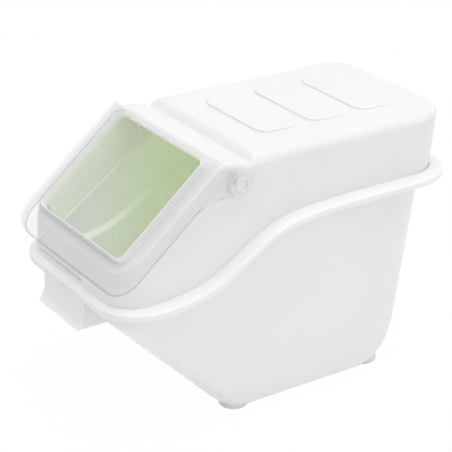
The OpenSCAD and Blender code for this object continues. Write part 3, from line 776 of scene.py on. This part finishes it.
def by_a_panel(point):
    """True round the raised panels, whose rear ends are too low for a bevel."""
    return abs(point.x) < 0.058 and -0.012 < point.y < 0.175 and point.z > 0.28


def under_the_slant(point):
    """True on the inner side of the hood's slanted wall."""
    between_cheeks = abs(point.x) < 0.0968 and -0.1945 < point.y < -0.066
    return between_cheeks and height_over_slant(point) < 0.0262


def sharp_on_hood(point):
    """True in every place where the edges of the hood stay sharp."""
    return by_the_pin(point) or by_a_panel(point) or under_the_slant(point)


print("edges stay sharp within", PIN_REACH, "m of the pivot line")

# %% [markdown]
# ### The three mouldings
# Tub and hood carry the white plastic outside and four plastics inside that differ mostly in painted light,
# whose faces are picked in the next part. The lid carries the clear plastic, and its rounded edges and rims
# the edge material with painted highlight and shade.

# %% Tub and hood
inside = [sage_glow_inside, cheek_lit_inside, ledge_lit_inside, seam_glow_inside]
tub = finished("tub", "tub_moulding", "tub", 0.02, 0.0008, [tub_white, *inside], by_the_grip)
hood = finished(
    "hood", "hood_moulding", "hood", 0.3, 0.0006, [hood_white, *inside], sharp_on_hood,
    softer=[(on_panel_top, 0.0018)])

# %% Lid
EDGE_SLOT = 1
RIMS_FROM, RIMS_TO = 0.003, 0.026  # over the slanted plane
clear = [clear_plastic, clear_edge]
lid = finished(
    "flip_lid", "clear_flip_lid", "lid", 0.3, 0.0008, clear, by_the_pin,
    edge_slot=EDGE_SLOT)
# The inner sides of the rims get the edge material too, with its painted highlight and shade.
for face in lid.data.polygons:
    faces_hood = face.normal.dot(slant_normal) < -0.7
    if faces_hood and RIMS_FROM < height_over_slant(face.center) < RIMS_TO:
        face.material_index = EDGE_SLOT
print(sum(face.material_index == EDGE_SLOT for face in lid.data.polygons), "faces of the lid are edges")

# %% [markdown]
# ## The inside
# Seen through the lid, the inside of the bin is a pale sage green, lit by what comes through its milky
# walls. The walls get the sage plastic with its painted glow. The cheeks beside the mouth and the ledge
# under the hood stand apart from the outer walls and catch the light from the mouth, so they are painted
# paler, and the ledge glows more as a painted highlight; the collar of the mouth gets the cheeks' plastic.
# Where the hood sits in the tub the walls are thin, and light shines through the seam, so the seam is
# painted nearly white with a glow. Painting by hand would do, but a test of each face by place and
# direction gives the same result each time.

# %% Which plastic a face gets
OUTSIDE, WALL, CHEEK, LEDGE, SEAM = range(5)
ROOF_SKIN_Z = 0.2893
SHELF_Z, SHELF_Y = 0.262, -0.07
COLLAR_FROM, COLLAR_TO, COLLAR_HALF_WIDTH = 0.0255, 0.0362, 0.0825
CHEEK_X, CHEEK_FRONT_Y, CHEEK_REAR_Y, CHEEK_LOW_Z = 0.0809, -0.19, -0.045, 0.17
LEDGE_LOW_Z = 0.13
SPINE_HALF_LENGTH, SPINE_Z = 0.1, 0.18
mouth_middle = hinge_place + 0.0706 * down_slant + 0.031 * slant_normal


def on_a_cheek(center, normal):
    """True on the inner side and the lower edge of the cheeks beside the mouth."""
    along_mouth = CHEEK_FRONT_Y < center.y < CHEEK_REAR_Y and center.z > CHEEK_LOW_Z
    beside_mouth = abs(center.x) < CHEEK_X + 0.0003 and along_mouth
    turned_in = normal.x * center.x < -0.5 * abs(center.x)
    lower_edge = normal.z > 0.2 and height_over_slant(center) < 0.012 and center.y < SHELF_Y
    return beside_mouth and (turned_in or lower_edge)


def inside_slot(face, reach):
    """The material slot of a face, by its place and the way it faces."""
    center, normal = face.center, face.normal
    if beyond_hood(center) > reach or center.z > ROOF_SKIN_Z:
        return OUTSIDE
    height = height_over_slant(center)
    if height > COLLAR_FROM:
        upright = abs(normal.dot(slant_normal)) < 0.6
        in_collar = height < COLLAR_TO and abs(center.x) < COLLAR_HALF_WIDTH and upright
        return CHEEK if in_collar and normal.dot(mouth_middle - center) > 0 else OUTSIDE
    if center.z > SHELF_Z and center.y > SHELF_Y and normal.z > 0.1:
        return OUTSIDE
    if on_a_cheek(center, normal):
        return CHEEK
    spine_y = max(-SPINE_HALF_LENGTH, min(SPINE_HALF_LENGTH, center.y))
    if normal.dot(Vector((0, spine_y, SPINE_Z)) - center) <= 0:
        return OUTSIDE
    if beyond_hood(center) > 0.0001 and abs(normal.z) < 0.4:
        return SEAM
    return LEDGE if center.z > LEDGE_LOW_Z and normal.z > 0.4 else WALL


print("cheeks stand", CHEEK_X, "m from the middle")

# %% Paint the inside
for piece, reach in ((tub, 0.0008), (hood, -0.0003)):
    counts = [0] * 5
    for face in piece.data.polygons:
        face.material_index = inside_slot(face, reach)
        counts[face.material_index] += 1
    print(piece.name, "faces outside, on walls, on cheeks, on the ledge, in the seam:", counts)

# %% [markdown]
# ## Pins, caps and pads
# These small turned parts are round and smooth in the CAD model already, so its own meshes stay and only
# get a plastic each. The caps sit inside the bin, in shade, so they get the cheeks' plastic with its
# painted glow, which keeps them from looking dark.

# %% Plastics of the small parts
# Painted light: the caps get the glowing cheek plastic, so they don't look dark in the shade inside.
small_parts = {"pivot_pin": pin_white, "pin_cap": cheek_lit_inside, "foot": pad_grey}
for node, obj in frame["nodes"].items():
    for start, plastic in small_parts.items():
        if node.startswith(start):
            obj.material_slots[0].material = plastic
            print(node, "gets", plastic.name)
